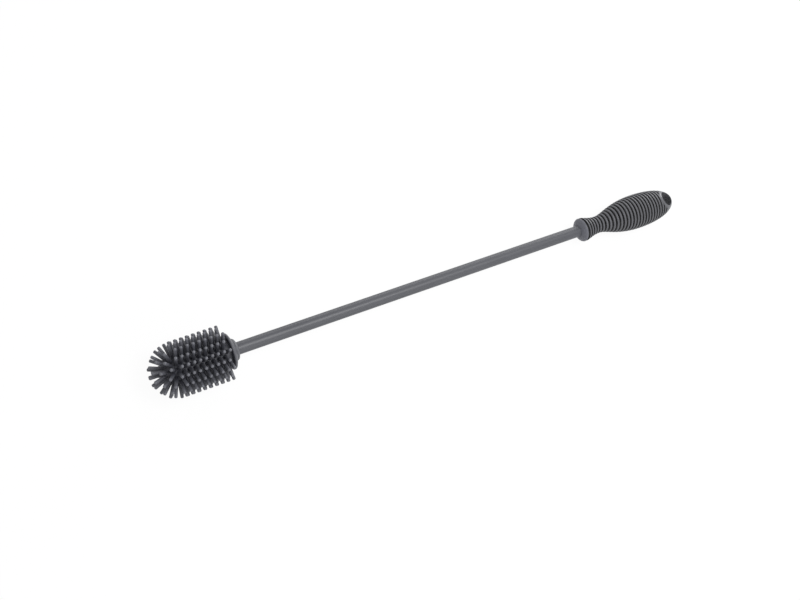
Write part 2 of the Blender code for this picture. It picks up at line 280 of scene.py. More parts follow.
def build_parting(tree: bpy.types.NodeTree) -> None:
    """Thin witness line left where the two halves of the mould met, as a mask and a height in metres.

    Args:
        tree: The node group to fill.
    """
    outputs = {"Mask": "Float", "Height": "Float"}
    graph, given = open_group(tree, {"Width": 0.0002, "Rise": 0.00003}, outputs)
    share = graph.math("DIVIDE", graph.math("ABSOLUTE", graph.axes()["Z"]), given["Width"])
    left = graph.remap(graph.noise(graph.place(), PARTING_WEAR_SCALE), *PARTING_WEAR_BAND, PARTING_LEAST)
    mask = graph.times(graph.remap(share, *PARTING_BAND), left)
    graph.add("NodeGroupOutput", {"Mask": mask, "Height": graph.times(mask, given["Rise"])})


BUILDERS: dict[Effect, Callable[[bpy.types.NodeTree], None]] = {
    Effect.GRAIN: build_grain,
    Effect.MOTTLE: build_mottle,
    Effect.DUST: build_dust,
    Effect.PARTING: build_parting,
}


def shared_effect(effect: Effect) -> bpy.types.NodeTree:
    """Finds an effect, which is built the first time it is asked for.

    Args:
        effect: The effect.

    Returns:
        Its node group.
    """
    tree = bpy.data.node_groups.get(effect.value)
    if tree is None:
        tree = bpy.data.node_groups.new(effect.value, "ShaderNodeTree")
        BUILDERS[effect](tree)
    return tree


@dataclass(frozen=True)
class Finish:
    """What every finish of the brush shares: a name, a colour, a gloss and a fine grain."""

    name: str
    colour: Colour
    roughness: float
    grain_size: float = 0.0005
    grain_depth: float = 0.000012
    specular: float = 0.5
    tone_gloss: float = 0.03       # how far the mottle moves the roughness
    dust_gloss: float = 0.3        # how much rougher the surface is under dust
    parting_gain: float = 1.3

    def start(self) -> tuple[bpy.types.Material, Graph, bpy.types.Node]:
        """Makes an empty material.

        Returns:
            The material, its graph and its shader.
        """
        made = bpy.data.materials.new(self.name)
        made.use_nodes = True
        graph = Graph(made.node_tree)
        shader = made.node_tree.nodes["Principled BSDF"]
        shader.inputs["Specular IOR Level"].default_value = self.specular
        return made, graph, shader

    def rgba(self, gain: float = 1.0) -> tuple[float, float, float, float]:
        """Returns the colour, made paler or darker."""
        return (*(gain * c for c in self.colour), 1.0)

    def parted(self, graph: Graph, colour: object, width: float, rise: float,
               share: float) -> tuple[bpy.types.NodeSocket, bpy.types.NodeSocket]:
        """Draws the mould's parting line over a colour.

        Args:
            graph: The material's graph.
            colour: The colour without the line.
            width: Half width of the line.
            rise: Height of the line.
            share: How strongly the line's own tone covers the colour.

        Returns:
            The colour with the line, and the line's height.
        """
        line = graph.effect(Effect.PARTING, width=width, rise=rise)
        shade = graph.times(line.outputs["Mask"], share)
        return graph.blend(shade, colour, self.rgba(self.parting_gain)), line.outputs["Height"]

    def soften(self, graph: Graph, shader: bpy.types.Node, gloss: object, mottle: bpy.types.Node,
               dust: bpy.types.Node) -> None:
        """Joins a roughness to the shader, moved by the mottle and raised by the dust.

        Args:
            graph: The material's graph.
            shader: Its shader.
            gloss: The roughness of the clean surface.
            mottle: The mottle's node.
            dust: The dust's node.
        """
        gloss = graph.math("MULTIPLY_ADD", mottle.outputs["Tone"], self.tone_gloss, gloss)
        gloss = graph.math("MULTIPLY_ADD", dust.outputs["Cover"], self.dust_gloss, gloss)
        graph.feed(shader.inputs["Roughness"], gloss)

    def relief(self, graph: Graph, shader: bpy.types.Node, more: object = 0.0) -> None:
        """Joins the grain and any further height to the shader as a bump.

        Args:
            graph: The material's graph.
            shader: Its shader.
            more: The further height in metres.
        """
        grain = graph.effect(Effect.GRAIN, size=self.grain_size, depth=self.grain_depth)
        height = graph.math("ADD", grain.outputs["Height"], more)
        bump = graph.add("ShaderNodeBump", {"Height": height, "Distance": 1.0, "Strength": 1.0})
        graph.feed(shader.inputs["Normal"], bump.outputs["Normal"])


@dataclass(frozen=True)
class PinSilicone(Finish):
    """Matte silicone of the head, with pin ends made paler by rubbed wear and a painted highlight, painted
    shade towards the pin roots, and a trace of dust between the pins.
    """

    dome_x: float = 0.0
    sleeve: float = 0.008
    reach: float = 0.0184
    lip_x: float = 0.0
    lip_band: Point = (-0.0006, 0.0012)     # from lip_x
    lip_gain: float = 0.76
    # painted shade: the colour darkens towards the pin roots, where shade falls between the pins
    root_shade_colour: Colour = (0.030, 0.031, 0.041)
    tip_band: Point = (-0.0016, -0.0002)    # from the reach
    # paler pin ends: rubbed wear and a painted highlight where the ends face the light
    tip_wear_and_highlight_gain: float = 1.15
    tip_roughness: float = 0.46

    def material(self) -> bpy.types.Material:
        """Mixes the finish.

        Returns:
            The material.
        """
        made, graph, shader = self.start()
        place = graph.axes()
        ahead = graph.math("MINIMUM", graph.math("SUBTRACT", place["X"], self.dome_x), 0.0)
        distance = graph.length(ahead, place["Y"], place["Z"])
        height = graph.remap(distance, self.sleeve, self.reach)
        tip = graph.ramp_at(distance, self.reach, self.tip_band)
        lip = graph.ramp_at(place["X"], self.lip_x, self.lip_band)
        # painted shade, from the pin ends down to the roots between the pins
        body = graph.blend(height, (*self.root_shade_colour, 1.0), self.rgba())
        # the pin ends are paler: rubbed wear and a painted highlight
        body = graph.blend(tip, body, self.rgba(self.tip_wear_and_highlight_gain))
        body = graph.blend(lip, body, self.rgba(self.lip_gain))
        mottle = graph.effect(Effect.MOTTLE, colour=body, size=0.006, amount=0.07)
        low = graph.math("SUBTRACT", 1.0, height)
        toned = mottle.outputs["Colour"]
        dust = graph.effect(Effect.DUST, colour=toned, sheltered=low, bloom=0.05, specks=0.25)
        graph.feed(shader.inputs["Base Color"], dust.outputs["Colour"])
        gloss = graph.math("MULTIPLY_ADD", tip, self.tip_roughness - self.roughness, self.roughness)
        self.soften(graph, shader, gloss, mottle, dust)
        self.relief(graph, shader)
        return made


@dataclass(frozen=True)
class GripSilicone(Finish):
    """Soft-touch silicone of the grip, with a painted highlight in patches on the crests, which are glossier
    where worn, painted shade in the grooves and in the seam at its front, and painted light on the hole's
    wall.

    The wave of the ribs is 1 at the floor of a groove and -1 on a crest.
    """

    first_x: float = 0.0           # middle of the first groove
    pitch: float = 0.00276
    last_x: float = 1.0            # crest behind the last groove
    last_band: Point = (-0.0003, 0.0003)    # from last_x
    front_x: float = 0.0
    seam_width: float = 0.0010
    seam_full: float = 0.9         # share of its width up to which the painted seam shadow is darkest
    # painted shadow in the seam behind the collar
    seam_shade_gain: float = 0.12
    hole_x: float = 0.0
    hole_radius: float = 0.0055
    wall_band: Point = (0.0002, 0.0004)     # from the hole's radius
    # painted light: the hole's wall is paler, lifting the shade inside the hole
    wall_light_gain: float = 1.30
    land_radius: float = 0.0073
    land_band: Point = (-0.0004, 0.0002)    # from the land's radius
    land_gain: float = 1.12
    land_roughness: float = 0.30
    groove_band: Point = (-0.30, 0.45)      # of the wave
    # painted shade in the grooves
    groove_shade_gain: float = 0.04
    crest_band: Point = (-0.4, -1.0)        # of the wave
    # painted highlight on the crests, in patches
    crest_highlight_gain: float = 1.08
    crest_roughness: float = 0.42
    wear_scale: float = 90.0
    wear_band: Point = (0.35, 0.65)
    least_wear: float = 0.4

    def material(self) -> bpy.types.Material:
        """Mixes the finish.

        Returns:
            The material.
        """
        made, graph, shader = self.start()
        place = graph.axes()
        along = place["X"]
        off = graph.length(graph.math("SUBTRACT", along, self.hole_x), place["Y"])
        off_land = graph.ramp_at(off, self.land_radius, self.land_band)
        ribbed = graph.times(off_land, graph.ramp_at(along, self.last_x, self.last_band, 1.0, 0.0))
        inside = graph.ramp_at(off, self.hole_radius, self.wall_band, 1.0, 0.0)
        turns = graph.math("DIVIDE", graph.math("SUBTRACT", along, self.first_x), self.pitch)
        wave = graph.math("COSINE", graph.times(turns, 2 * math.pi))
        groove = graph.times(graph.remap(wave, *self.groove_band), ribbed)
        wear = graph.noise(graph.place(), self.wear_scale, detail=4.0)
        worn = graph.remap(wear, *self.wear_band, self.least_wear)
        crest = graph.times(graph.remap(wave, *self.crest_band), worn)
        # painted light on the hole's wall, against the shade inside the hole
        smooth = graph.blend(inside, self.rgba(self.land_gain), self.rgba(self.wall_light_gain))
        body = graph.blend(ribbed, smooth, self.rgba())
        # painted shade: the grooves are darkened where shade falls in them
        body = graph.blend(groove, body, self.rgba(self.groove_shade_gain))
        # painted highlight on the crests, in the patches of the wear noise
        body = graph.blend(graph.times(crest, ribbed), body, self.rgba(self.crest_highlight_gain))
        behind = graph.math("SUBTRACT", along, self.front_x)
        # painted shadow in the seam behind the collar
        seam = graph.remap(behind, self.seam_full * self.seam_width, self.seam_width, 1.0, 0.0)
        body = graph.blend(seam, body, self.rgba(self.seam_shade_gain))
        mottle = graph.effect(Effect.MOTTLE, colour=body, size=0.012, amount=0.06)
        toned = mottle.outputs["Colour"]
        dust = graph.effect(Effect.DUST, colour=toned, sheltered=groove, bloom=0.06, specks=0.22)
        dusty = dust.outputs["Colour"]
        colour, line_height = self.parted(graph, dusty, width=0.00018, rise=0.00003, share=0.25)
        graph.feed(shader.inputs["Base Color"], colour)
        gloss = graph.math("MULTIPLY_ADD", crest, self.crest_roughness - self.roughness, self.roughness)
        on_land = graph.times(graph.math("SUBTRACT", 1.0, ribbed), graph.math("SUBTRACT", 1.0, inside))
        gloss = graph.remap(on_land, 0.0, 1.0, gloss, self.land_roughness)
        self.soften(graph, shader, gloss, mottle, dust)
        self.relief(graph, shader, line_height)
        return made


@dataclass(frozen=True)
class SatinPlastic(Finish):
    """Moulded satin plastic, with fine grain, faint flow lines along the axis, a few scuffs and painted
    shade in a seam.
    """

    flow_stretch: Corner = (0.04, 1.0, 1.0)
    flow_scale: float = 1400.0
    flow_depth: float = 0.000006
    flow_gloss: float = 0.08
    scuff_stretch: Corner = (1.0, 0.12, 0.12)
    scuff_scale: float = 2600.0
    scuff_band: Point = (0.66, 0.74)
    scuff_cover: float = 0.05
    scuff_gain: float = 3.0
    scuff_gloss: float = 0.12
    patch_scale: float = 55.0
    patch_band: Point = (0.50, 0.66)
    seam_shade_x: float = 1.0            # behind this place along X the piece is painted darker, as shade in a seam
    seam_shade_band: Point = (-0.0001, 0.00005)   # from seam_shade_x
    seam_shade_gain: float = 0.15

    def material(self) -> bpy.types.Material:
        """Mixes the finish.

        Returns:
            The material.
        """
        made, graph, shader = self.start()
        flow = graph.noise(graph.stretched(self.flow_stretch), self.flow_scale, detail=3.0)
        marks = graph.noise(graph.stretched(self.scuff_stretch), self.scuff_scale)
        patches = graph.remap(graph.noise(graph.place(), self.patch_scale, detail=3.0), *self.patch_band)
        scuff = graph.times(graph.remap(marks, *self.scuff_band), patches)
        # painted shade in the seam behind a place along X
        seam = graph.ramp_at(graph.axes()["X"], self.seam_shade_x, self.seam_shade_band)
        body = graph.blend(seam, self.rgba(), self.rgba(self.seam_shade_gain))
        mottle = graph.effect(Effect.MOTTLE, colour=body, size=0.02, amount=0.04)
        cover = graph.times(scuff, self.scuff_cover)
        scuffed = graph.blend(cover, mottle.outputs["Colour"], self.rgba(self.scuff_gain))
        dust = graph.effect(Effect.DUST, colour=scuffed, bloom=0.0, specks=0.12)
        dusty = dust.outputs["Colour"]
        colour, line_height = self.parted(graph, dusty, width=0.00015, rise=0.00002, share=0.2)
        graph.feed(shader.inputs["Base Color"], colour)
        gloss = graph.math("MULTIPLY_ADD", flow, self.flow_gloss, self.roughness - self.flow_gloss / 2)
        graph.feed(shader.inputs["Roughness"], graph.math("MULTIPLY_ADD", scuff, self.scuff_gloss, gloss))
        self.relief(graph, shader, graph.math("MULTIPLY_ADD", flow, self.flow_depth, line_height))
        return made


@dataclass(frozen=True)
class DrawnSteel(Finish):
    """Drawn steel of the hidden rod, with fine lines along its length."""

    line_stretch: Corner = (0.02, 1.0, 1.0)
    line_scale: float = 5200.0
    line_depth: float = 0.000004
    line_gloss: float = 0.16

    def material(self) -> bpy.types.Material:
        """Mixes the finish.

        Returns:
            The material.
        """
        made, graph, shader = self.start()
        lines = graph.noise(graph.stretched(self.line_stretch), self.line_scale, detail=4.0)
        mottle = graph.effect(Effect.MOTTLE, colour=self.rgba(), size=0.015, amount=0.05)
        graph.feed(shader.inputs["Base Color"], mottle.outputs["Colour"])
        gloss = graph.math("MULTIPLY_ADD", lines, self.line_gloss, self.roughness - self.line_gloss / 2)
        graph.feed(shader.inputs["Roughness"], gloss)
        shader.inputs["Metallic"].default_value = 1.0
        self.relief(graph, shader, graph.times(lines, self.line_depth))
        return made


def around(x: float, radius: float, turn: float) -> Vector:
    """Returns the point at a radius and an angle about the X axis."""
    return Vector((x, radius * math.cos(turn), radius * math.sin(turn)))


def arc(centre_x: float, length: float, radius: float, start: float, end: float, steps: int) -> list[Point]:
    """Points of an ellipse round a place on the axis.

    Args:
        centre_x: The place on the axis.
        length: Half length of the ellipse along the axis.
        radius: Half width of the ellipse.
        start: First angle in degrees, where 0 points to +X and 90 straight out.
        end: Last angle in degrees.
        steps: Number of stretches.

    Returns:
        The points as (x, radius).
    """
    points = []
    for i in range(steps + 1):
        angle = math.radians(start + (end - start) * i / steps)
        points.append((centre_x + length * math.cos(angle), max(radius * math.sin(angle), 0.0)))
    return points


def bezier(start: Point, pull_a: Point, pull_b: Point, end: Point, steps: int) -> list[Point]:
    """Draws one smooth curve.

    Args:
        start: Its first point.
        pull_a: The point that its first half leans to.
        pull_b: The point that its second half leans to.
        end: Its last point.
        steps: Number of stretches.

    Returns:
        The points as (x, radius).
    """
    points = []
    corners = (start, pull_a, pull_b, end)
    for i in range(steps + 1):
        t = i / steps
        u = 1 - t
        weights = (u * u * u, 3 * u * u * t, 3 * u * t * t, t * t * t)
        points.append(tuple(sum(w * c[axis] for w, c in zip(weights, corners)) for axis in (0, 1)))
    return points


def level_curve(start: Point, end: Point, pulls: Point, steps: int) -> list[Point]:
    """Points of a smooth stretch that runs level at both ends, for the given shares of its length."""
    first, last = (pull * (end[0] - start[0]) for pull in pulls)
    return bezier(start, (start[0] + first, start[1]), (end[0] - last, end[1]), end, steps)


def height_at(outline: list[Point], x: float) -> float:
    """Finds the radius of an outline at a place along X.

    Args:
        outline: Points as (x, radius), from front to back.
        x: The place.

    Returns:
        The radius there, or at the nearer end where the outline doesn't reach.
    """
    if x <= outline[0][0]:
        return outline[0][1]
    for (xa, ra), (xb, rb) in zip(outline, outline[1:]):
        if xa <= x <= xb and xb > xa:
            return ra + (rb - ra) * (x - xa) / (xb - xa)
    return outline[-1][1]


def filleted(corners: list[Corner], steps: int = 5) -> list[Point]:
    """Rounds the corners of an outline.

    Args:
        corners: Corners as (x, radius, fillet). A fillet of 0 keeps the corner sharp.
        steps: Stretches of each rounded corner.

    Returns:
        The points as (x, radius).
    """
    points: list[Point] = []
    last = len(corners) - 1
    for i, (x, r, fillet) in enumerate(corners):
        if fillet == 0 or i in (0, last):
            points.append((x, r))
            continue
        here = Vector((x, r))
        before = Vector(corners[i - 1][:2]) - here
        after = Vector(corners[i + 1][:2]) - here
        reach = min(fillet, FILLET_SHARE * before.length, FILLET_SHARE * after.length)
        a = here + before.normalized() * reach
        b = here + after.normalized() * reach
        for k in range(steps + 1):
            t = k / steps
            point = a * (1 - t) ** 2 + here * 2 * t * (1 - t) + b * t * t
            points.append((point.x, point.y))
    return points


def add_lathe(bm: bmesh.types.BMesh, profile: list[Point], sides: int, closed: bool = False,
              place: Callable[[float, float, float], Vector] = around) -> None:
    """Turns a profile about an axis and adds it to a mesh.

    Args:
        bm: The mesh.
        profile: Points as (along, radius), with the outer side running from + to - along the axis.
        sides: Number of sides.
        closed: True if the last point joins the first.
        place: Gives the point for (along, radius, angle). The default turns about X.
    """
    rings = []
    for along, radius in profile:
        if radius < ON_AXIS:
            rings.append([bm.verts.new(place(along, 0.0, 0.0))])
        else:
            rings.append([bm.verts.new(place(along, radius, 2 * math.pi * k / sides)) for k in range(sides)])
    pairs = list(zip(rings, rings[1:]))
    if closed:
        pairs.append((rings[-1], rings[0]))
    for low, high in pairs:
        for k in range(sides):
            after = (k + 1) % sides
            if len(low) == 1 and len(high) > 1:
                bm.faces.new((low[0], high[k], high[after]))
            elif len(high) == 1 and len(low) > 1:
                bm.faces.new((low[after], low[k], high[0]))
            elif len(low) > 1:
                bm.faces.new((low[k], high[k], high[after], low[after]))


def add_object(name: str, data: bpy.types.ID) -> bpy.types.Object:
    """Puts an object in the scene.

    Args:
        name: The object's name.
        data: Its mesh, lamp or camera.

    Returns:
        The object.
    """
    made = bpy.data.objects.new(name, data)
    bpy.context.scene.collection.objects.link(made)
    return made


def new_piece(name: str, bm: bmesh.types.BMesh) -> bpy.types.Object:
    """Makes a smooth object of a finished mesh, with its real edges kept crisp.

    Args:
        name: The object's name.
        bm: The mesh, which is freed.

    Returns:
        The object.
    """
    bmesh.ops.recalc_face_normals(bm, faces=bm.faces)
    for face in bm.faces:
        face.smooth = True
    mesh = bpy.data.meshes.new(name)
    bm.to_mesh(mesh)
    bm.free()
    mesh.set_sharp_from_angle(angle=SHARP_ANGLE)
    return add_object(name, mesh)


def coat(piece: bpy.types.Object, finish: Finish) -> None:
    """Gives a piece one finish in place of any that it had."""
    piece.data.materials.clear()
    piece.data.materials.append(finish.material())


def hand_over(piece: bpy.types.Object, node: str, finish: Finish) -> bpy.types.Object:
    """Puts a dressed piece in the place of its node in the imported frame.

    Args:
        piece: The finished piece.
        node: The node that it stands for.
        finish: What its surface is like.

    Returns:
        The piece.
    """
    coat(piece, finish)
    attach(piece, ROOT_BODY)
    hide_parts(node)
    log.info("%s stands for %s, %d faces", piece.name, node, len(piece.data.polygons))
    return piece


@dataclass
class HeadCore:
    """Plastic core under the sleeve, with the domed hub that holds the stem."""

    node: str = "head_core"
    slot: str = "core_plastic"
    core_radius: float = 0.0054
    hub_radius: float = 0.0073
    hub_length: float = 0.0019
    hub_reach: float = 0.00022     # how far the hub's rim closes the seam to the cone
    ring_height: float = 0.0010
    ring_width: float = 0.0020
    ring_places: tuple[float, ...] = (0.008, 0.022)
    dome_start: float = 3.0        # degrees from the back to where the hub's rounding begins
    mouth_setback: float = 0.0002  # the socket's mouth lies this far before the back
    stem_depth: float = 0.0125
    rod_depth: float = 0.0315

    def __post_init__(self) -> None:
        """Reads the core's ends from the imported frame."""
        low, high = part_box(self.node)
        self.dome_x = low.x + self.core_radius
        self.back_x = high.x

    def ring_steps(self, gap: float = 0.0) -> list[Point]:
        """Works out the retaining rings, or the grooves that hold them.

        Args:
            gap: How far the grooves stay off the rings. The rings themselves have none.

        Returns:
            The corners as (x, radius), from front to back.
        """
        points = []
        base = self.core_radius + gap
        top = base + self.ring_height
        for place in self.ring_places:
            front = self.dome_x + place - self.ring_width / 2 - gap
            back = self.dome_x + place + self.ring_width / 2 + gap
            points += [(front, base), (front, top), (back, top), (back, base)]
        return points

    def build(self) -> bpy.types.Object:
        """Builds and dresses the core.

        Returns:
            The finished piece.
        """
        hub_x = self.back_x - self.hub_length
        rise = self.hub_radius - STEM_SOCKET
        dome = arc(hub_x, self.hub_length, rise, self.dome_start, 90, steps=20)
        outer = [(x, r + STEM_SOCKET) for x, r in dome]
        rim_x = hub_x - self.hub_reach
        outer += [(rim_x, self.hub_radius), (rim_x, self.core_radius)]
        outer += reversed(self.ring_steps())
        outer += arc(self.dome_x, self.core_radius, self.core_radius, 90, 180, steps=12)
        rod_end = self.back_x - self.rod_depth - SEAM
        stem_end = self.back_x - self.stem_depth - SEAM
        inner = [(rod_end, 0.0), (rod_end, ROD_BORE), (stem_end, ROD_BORE), (stem_end, STEM_SOCKET),
                 (self.back_x - self.mouth_setback, STEM_SOCKET)]
        bm = bmesh.new()
        add_lathe(bm, inner + outer, Sides.ROUND.value)
        finish = SatinPlastic("core_plastic_satin", (0.091, 0.093, 0.104), roughness=0.46, specular=0.35)
        return hand_over(new_piece("head_core_hub", bm), self.node, finish)


@dataclass
class SiliconeHead:
    """Silicone sleeve with its lip and all the pins, one moulding."""

    core: HeadCore
    node: str = "bristle_head"
    slot: str = "head_silicone"
    sleeve_radius: float = 0.0080
    lip_radius: float = 0.0122
    lip_thickness: float = 0.0015
    lip_fall: float = 0.0003       # from the middle of the lip's rim to both of its edges
    cone_length: float = 0.0023
    cone_end_radius: float = 0.0073
    cone_fillet: float = 0.0001
    root_fillet: float = 0.0010
    edge_fillet: float = 0.0005
    pin_root_radius: float = 0.00118
    pin_tip_radius: float = 0.00106
    pin_sink: float = 0.0006
    pin_flare: float = 0.00045
    pin_flare_height: float = 0.0010
    pin_crown: float = 0.00075
    crown_power: float = 0.8       # 1 is an ellipse, and less is blunter
    crown_steps: int = 5
    flare_power: float = 2.6       # how late the flare opens towards the root
    flare_steps: int = 4
    sunk_flare: float = 1.2        # flare of the part inside the sleeve, beside pin_flare
    pin_pitch: float = 0.00393
    pin_rows: int = 18
    barrel_rings: int = 9
    full_row_tilts: tuple[float, ...] = (23.0, 46.0)
    staggered_row_tilts: tuple[float, ...] = (6.5, 30.0)
    pole_ring_pins: int = 7
    pole_ring_tilt: float = 68.0
    pole_ring_turn: float = 81.5
    looseness: float = 0.7         # degrees that a pin may stray from its row
    seed: int = 7

    def __post_init__(self) -> None:
        """Reads the head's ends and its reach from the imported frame."""
        low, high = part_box(self.node)
        self.reach = high.y
        self.dome_x = low.x + self.reach
        self.back_x = high.x
        self.lip_x = self.back_x - self.cone_length - self.lip_thickness
        self.barrel_end = self.dome_x + (self.barrel_rings - 1) * self.pin_pitch

    def sleeve(self, bm: bmesh.types.BMesh) -> None:
        """Adds the hollow sleeve with its domed front, lip and cone.

        Args:
            bm: The mesh of the head.
        """
        edge = self.lip_radius - self.lip_fall
        bore = self.core.core_radius + SEAM
        back = self.lip_x + self.lip_thickness
        outer = filleted([
            (self.back_x, bore, 0.0),
            (self.back_x, self.cone_end_radius, self.cone_fillet),
            (back, edge, self.edge_fillet),
            (self.lip_x + self.lip_thickness / 2, self.lip_radius, self.edge_fillet),
            (self.lip_x, edge, self.edge_fillet),
            (self.lip_x, self.sleeve_radius, self.root_fillet),
            (self.lip_x - 2 * self.root_fillet, self.sleeve_radius, 0.0),
        ])
        outer += arc(self.dome_x, self.sleeve_radius, self.sleeve_radius, 90, 180, steps=16)
        inner = arc(self.dome_x, bore, bore, 180, 90, steps=10) + self.core.ring_steps(SEAM)
        add_lathe(bm, inner + outer, Sides.ROUND.value)

    def pin_profile(self) -> list[Point]:
        """Works out the outline of one pin.

        Returns:
            The points as (height over the axis, radius), from its rounded end to its flared root.
        """
        crown = self.reach - self.pin_crown
        points = [(self.reach, 0.0)]
        for k in range(1, self.crown_steps + 1):
            turn = math.radians(90 * k / self.crown_steps)
            radius = self.pin_tip_radius * math.sin(turn) ** self.crown_power
            points.append((crown + self.pin_crown * math.cos(turn), radius))
        flare_top = self.sleeve_radius + self.pin_flare_height
        for k in range(self.flare_steps + 1):
            share = k / self.flare_steps
            height = flare_top - share * self.pin_flare_height
            points.append((height, self.pin_root_radius + self.pin_flare * share ** self.flare_power))
        sunk = self.sleeve_radius - self.pin_sink
        return points + [(sunk, self.pin_root_radius + self.sunk_flare * self.pin_flare), (sunk, 0.0)]

    def pin_directions(self) -> list[tuple[Vector, Vector]]:
        """Lays out the rows of the barrel and the dome, the ring near the pole and the front pin.

        Returns:
            The place on the axis and the direction of every pin.
        """
        pins = []
        dome = Vector((self.dome_x, 0.0, 0.0))
        for row in range(self.pin_rows):
            turn = 2 * math.pi * row / self.pin_rows
            out = around(0.0, 1.0, turn)
            staggered = row % 2 == 0
            shift = self.pin_pitch / 2 if staggered else 0.0
            for ring in range(self.barrel_rings - 1 if staggered else self.barrel_rings):
                pins.append((Vector((self.barrel_end - shift - ring * self.pin_pitch, 0.0, 0.0)), out))
            for tilt in self.staggered_row_tilts if staggered else self.full_row_tilts:
                pins.append((dome, self.leaning(out, tilt)))
        for k in range(self.pole_ring_pins):
            turn = math.radians(self.pole_ring_turn) + 2 * math.pi * k / self.pole_ring_pins
            pins.append((dome, self.leaning(around(0.0, 1.0, turn), self.pole_ring_tilt)))
        pins.append((dome, FORWARD))
        return pins

    def leaning(self, out: Vector, tilt: float) -> Vector:
        """Returns the direction of a pin that leans forward by an angle in degrees."""
        lean = math.radians(tilt)
        return out * math.cos(lean) + FORWARD * math.sin(lean)

    def pin(self, bm: bmesh.types.BMesh, centre: Vector, direction: Vector, chance: random.Random) -> None:
        """Adds one pin, which strays a little from its row.

        Args:
            bm: The mesh of the head.
            centre: The place on the axis that the pin points away from.
            direction: Where it points.
            chance: The source of its small differences.
        """
        side = direction.orthogonal().normalized()
        other = direction.cross(side)
        turn = chance.uniform(0, 2 * math.pi)
        stray = math.radians(self.looseness) * chance.random() ** 0.5
        aside = (side * math.cos(turn) + other * math.sin(turn)) * math.sin(stray)
        root = self.sleeve_radius

        def on_pin(height: float, radius: float, angle: float) -> Vector:
            """Bends the pin aside above its root.

            Args:
                height: Height over the axis.
                radius: Distance from the pin's middle line.
                angle: Turn about that line.

            Returns:
                The point of the pin.
            """
            lift = max(height - root, 0.0)
            drop = lift * (1 - math.cos(stray))
            rim = side * math.cos(angle) + other * math.sin(angle)
            return centre + direction * (height - drop) + aside * lift + rim * radius

        add_lathe(bm, self.pin_profile(), Sides.PIN.value, place=on_pin)

    def build(self) -> bpy.types.Object:
        """Builds and dresses the head.

        Returns:
            The finished piece.
        """
        bm = bmesh.new()
        self.sleeve(bm)
        chance = random.Random(self.seed)
        for centre, direction in self.pin_directions():
            self.pin(bm, centre, direction, chance)
        finish = PinSilicone("head_silicone_matte", (0.082, 0.084, 0.098), roughness=0.52,
                             dome_x=self.dome_x, lip_x=self.lip_x, sleeve=self.sleeve_radius,
                             reach=self.reach)
        return hand_over(new_piece("silicone_head", bm), self.node, finish)


@dataclass
class Stem:
    """Round plastic stem between the hub and the collar, with the steel rod that stiffens it."""

    node: str = "stem_tube"
    slot: str = "stem_plastic"
    rod_node: str = "stem_rod"
    edge_fillet: float = 0.0003
    rings: int = 48                # stretches along the stem, so that its shading stays even

    def build(self) -> bpy.types.Object:
        """Builds and dresses the stem.

        Returns:
            The finished piece.
        """
        low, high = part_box(self.node)
        radius = high.y
        ends = filleted([(high.x, ROD_BORE, 0.0), (high.x, radius, self.edge_fillet),
                         (low.x, radius, self.edge_fillet), (low.x, ROD_BORE, 0.0)])
        half = len(ends) // 2
        first, last = ends[half - 1], ends[half]
        between = [(first[0] + (last[0] - first[0]) * k / self.rings, radius) for k in range(1, self.rings)]
        bm = bmesh.new()
        add_lathe(bm, ends[:half] + between + ends[half:], Sides.ROUND.value, closed=True)
        finish = SatinPlastic("stem_plastic_satin", (0.061, 0.063, 0.072), roughness=0.42, specular=0.42,
                              flow_depth=0.00001)
        return hand_over(new_piece("stem", bm), self.node, finish)

    def dress_rod(self) -> None:
        """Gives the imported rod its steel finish."""
        finish = DrawnSteel("rod_steel_drawn", (0.55, 0.56, 0.58), roughness=0.30, grain_depth=0.000002)
        coat(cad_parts[self.rod_node], finish)
        log.info("%s keeps its packed shape", self.rod_node)


@dataclass
class GripShape:
    """Outline that the grip and the tang inside it share, measured from the front of the grip."""

    grip_node: str = "grip"
    core_node: str = "handle_core"
    neck_radius: float = 0.00633
    neck_place: float = 0.0134
    belly_place: float = 0.0500
    nose_bluntness: float = 0.0113
    front_pulls: Point = (0.22, 0.50)
    swell_pulls: Point = (0.20, 0.57)
    nose_pull: float = 0.313
    tang_pulls: Point = (0.30, 0.50)
    tang_neck_radius: float = 0.00363
    tang_belly_radius: float = 0.0077
    tang_end_radius: float = 0.0036
    tang_neck_run: float = 0.0030
    shoulder_radius: float = 0.00565
    shoulder_run: float = 0.0041
    shoulder_slope: float = 0.0040

    def __post_init__(self) -> None:
        """Reads the grip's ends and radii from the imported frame."""
        low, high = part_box(self.grip_node)
        core_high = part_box(self.core_node)[1]
        self.front = low.x
        self.end = high.x
        self.belly_radius = high.y
        self.collar_radius = core_high.y
        self.tang_end = core_high.x

    def outline(self, steps: int) -> list[Point]:
        """Draws the grip's outer outline, without its grooves.

        Args:
            steps: Number of stretches of its first curve. Each of the other two has twice as many.

        Returns:
            The points as (x, radius), from the front of the grip to its end.
        """
        neck = (self.front + self.neck_place, self.neck_radius)
        belly = (self.front + self.belly_place, self.belly_radius)
        points = level_curve((self.front, self.collar_radius), neck, self.front_pulls, steps)
        points += level_curve(neck, belly, self.swell_pulls, 2 * steps)[1:]
        after_belly = (belly[0] + self.nose_pull * (self.end - belly[0]), self.belly_radius)
        points += bezier(belly, after_belly, (self.end, self.nose_bluntness), (self.end, 0.0), 2 * steps)[1:]
        return points

    def tang(self) -> list[Point]:
        """Draws the outline of the core inside the grip.

        Returns:
            The points as (x, radius), from its front to its end.
        """
        shoulder_end = self.front - SEAM + self.shoulder_run
        neck_x = self.front + self.neck_place
        points = [(self.front - SEAM, self.shoulder_radius), (shoulder_end, self.shoulder_radius),
                  (shoulder_end + self.shoulder_slope, self.tang_neck_radius)]
        start = (neck_x + self.tang_neck_run, self.tang_neck_radius)
        belly = (self.front + self.belly_place, self.tang_belly_radius)
        points += level_curve(start, belly, self.tang_pulls, steps=10)
        points.append((self.tang_end, self.tang_end_radius))
        return points


